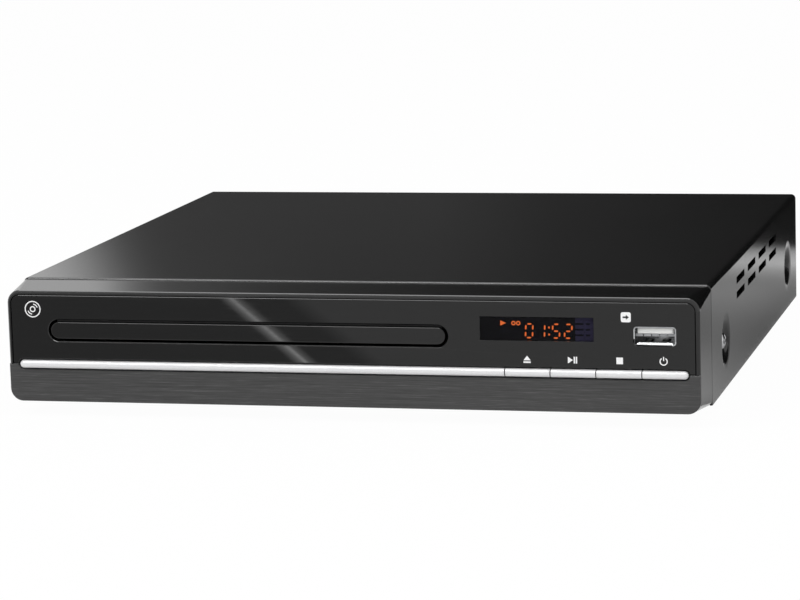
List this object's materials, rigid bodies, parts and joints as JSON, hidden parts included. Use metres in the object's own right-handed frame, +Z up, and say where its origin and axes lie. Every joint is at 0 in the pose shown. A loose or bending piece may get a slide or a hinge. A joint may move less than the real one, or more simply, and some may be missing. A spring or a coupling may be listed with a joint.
{
  "type": "dvd player",
  "caption": "Compact front-loading disc player with a sliding tray, push keys, display window and USB socket in a folded steel case, with its loader and boards inside.",
  "frame": {"origin": "centre of the footprint on the surface the player stands on", "axes": "+X to the right seen from the front, +Y to the back, +Z up"},
  "size_m": [0.225, 0.2314, 0.0419],
  "materials": {
    "cover_paint": "satin black",
    "zinc_sheet": "zinc plated",
    "rear_paint": "matt black",
    "foot_rubber": "matt",
    "black_screw": "blackened",
    "bezel_plastic": "gloss black",
    "fascia_acrylic": "high gloss black",
    "fascia_brushed": "dark horizontal brushing",
    "smoked_window": "smoked",
    "bright_trim": "polished",
    "switch_plastic": "matt",
    "circuit_board": "solder-resist green",
    "socket_steel": "tin plated",
    "pale_plastic": "matt",
    "black_plastic": "fine texture",
    "tray_plastic": "fine texture",
    "gear_plastic": "natural acetal",
    "motor_steel": "plated",
    "belt_rubber": "matt",
    "magnet": "ground",
    "lens_glass": "clear",
    "capacitor_sleeve": "shrink sleeve",
    "heat_sink": "extruded",
    "cable": "flat cable"
  },
  "bodies": {
    "cabinet": {"top_cover": "cover_paint", "base_pan": "zinc_sheet", "rear_panel": "rear_paint", "rubber_feet": "foot_rubber", "cover_screws": "black_screw", "chassis_screws": "motor_steel", "front_bezel": "bezel_plastic", "upper_fascia": "fascia_acrylic", "lower_fascia": "fascia_brushed", "display_window": "smoked_window", "trim_strip": "bright_trim", "tact_switches": "switch_plastic", "front_board": "circuit_board", "display_module": "black_plastic", "ir_receiver": "black_plastic", "usb_shell": "socket_steel", "usb_tongue": "pale_plastic", "loader_frame": "black_plastic", "loading_motor": "motor_steel", "drive_belt": "belt_rubber", "clamp_bridge": "zinc_sheet", "pivot_bushes": "foot_rubber", "main_board": "circuit_board", "decoder_chip": "switch_plastic", "board_capacitors": "capacitor_sleeve", "power_board": "circuit_board", "transformer": "magnet", "power_capacitors": "capacitor_sleeve", "power_heatsink": "heat_sink", "mains_inlet": "black_plastic", "hdmi_socket": "socket_steel", "scart_socket": "black_plastic", "rca_block": "black_plastic", "rca_barrels": "socket_steel", "ribbon_cables": "cable"},
    "tray": {"disc_tray": "tray_plastic", "tray_door": "fascia_acrylic"},
    "motor_pulley_body": {"motor_pulley": "gear_plastic"},
    "pulley_gear_body": {"pulley_gear": "gear_plastic"},
    "tray_gear_body": {"tray_gear": "gear_plastic"},
    "lift_cam_body": {"lift_cam": "gear_plastic"},
    "traverse": {"traverse_plate": "zinc_sheet", "spindle_motor": "motor_steel", "guide_rods": "motor_steel", "sled_motor": "motor_steel"},
    "turntable_body": {"turntable": "black_plastic"},
    "pickup": {"optical_pickup": "black_plastic", "objective_lens": "lens_glass"},
    "sled_gear_body": {"sled_gear": "gear_plastic"},
    "sled_pinion_body": {"sled_pinion": "gear_plastic"},
    "clamper": {"clamper_puck": "gear_plastic", "clamper_magnet": "magnet"},
    "eject_key_body": {"eject_key": "bright_trim", "eject_plunger": "pale_plastic"},
    "play_key_body": {"play_key": "bright_trim", "play_plunger": "pale_plastic"},
    "stop_key_body": {"stop_key": "bright_trim", "stop_plunger": "pale_plastic"},
    "power_key_body": {"power_key": "bright_trim", "power_plunger": "pale_plastic"}
  },
  "joints": [
    {"name": "tray_slide", "type": "slide", "parent": "cabinet", "child": "tray", "axis": [0, -1, 0], "range_m": [0, 0.13]},
    {"name": "tray_gear_turn", "type": "hinge", "parent": "cabinet", "child": "tray_gear_body", "pos_m": [-0.08045, -0.0783, 0.02795], "axis": [0, 0, 1], "range_deg": [0, 745.85]},
    {"name": "pulley_gear_turn", "type": "hinge", "parent": "cabinet", "child": "pulley_gear_body", "pos_m": [-0.06125, -0.0783, 0.02795], "axis": [0, 0, 1], "range_deg": [-2235.53, 0]},
    {"name": "motor_pulley_turn", "type": "hinge", "parent": "cabinet", "child": "motor_pulley_body", "pos_m": [-0.014, -0.0813, 0.02795], "axis": [0, 0, 1], "range_deg": [-8939.14, 0]},
    {"name": "traverse_tilt", "type": "hinge", "parent": "cabinet", "child": "traverse", "pos_m": [-0.0325, 0.0452, 0.01625], "axis": [1, 0, 0], "range_deg": [0, 4]},
    {"name": "lift_cam_slide", "type": "slide", "parent": "cabinet", "child": "lift_cam_body", "axis": [-1, 0, 0], "range_m": [0, 0.01034]},
    {"name": "turntable_spin", "type": "hinge", "parent": "traverse", "child": "turntable_body", "pos_m": [-0.0325, -0.0408, 0.02795], "axis": [0, 0, 1], "continuous": true},
    {"name": "clamper_spin", "type": "hinge", "parent": "cabinet", "child": "clamper", "pos_m": [-0.0325, -0.0408, 0.02795], "axis": [0, 0, 1], "continuous": true},
    {"name": "sled_slide", "type": "slide", "parent": "traverse", "child": "pickup", "axis": [0, 1, 0], "range_m": [0, 0.034]},
    {"name": "sled_gear_turn", "type": "hinge", "parent": "traverse", "child": "sled_gear_body", "pos_m": [0.00833, 0.0027, 0.02795], "axis": [0, 0, 1], "range_deg": [-406.85, 0]},
    {"name": "sled_pinion_turn", "type": "hinge", "parent": "traverse", "child": "sled_pinion_body", "pos_m": [0.00833, 0.0127, 0.02795], "axis": [0, 0, 1], "range_deg": [0, 947.97]},
    {"name": "eject_key_press", "type": "slide", "parent": "cabinet", "child": "eject_key_body", "axis": [0, 1, 0], "range_m": [0, 0.0006], "stiffness_N_per_m": 300},
    {"name": "play_key_press", "type": "slide", "parent": "cabinet", "child": "play_key_body", "axis": [0, 1, 0], "range_m": [0, 0.0006], "stiffness_N_per_m": 300},
    {"name": "stop_key_press", "type": "slide", "parent": "cabinet", "child": "stop_key_body", "axis": [0, 1, 0], "range_m": [0, 0.0006], "stiffness_N_per_m": 300},
    {"name": "power_key_press", "type": "slide", "parent": "cabinet", "child": "power_key_body", "axis": [0, 1, 0], "range_m": [0, 0.0006], "stiffness_N_per_m": 300}
  ],
  "couplings": [
    {"joint": "tray_gear_turn", "follows": "tray_slide", "rad_per_m": 100},
    {"joint": "pulley_gear_turn", "follows": "tray_slide", "rad_per_m": -300},
    {"joint": "motor_pulley_turn", "follows": "tray_slide", "rad_per_m": -1200},
    {"joint": "lift_cam_slide", "follows": "traverse_tilt", "m_per_rad": 0.14521},
    {"joint": "clamper_spin", "follows": "turntable_spin", "ratio": 1},
    {"joint": "sled_gear_turn", "follows": "sled_slide", "rad_per_m": -208.33},
    {"joint": "sled_pinion_turn", "follows": "sled_slide", "rad_per_m": 486.11}
  ]
}
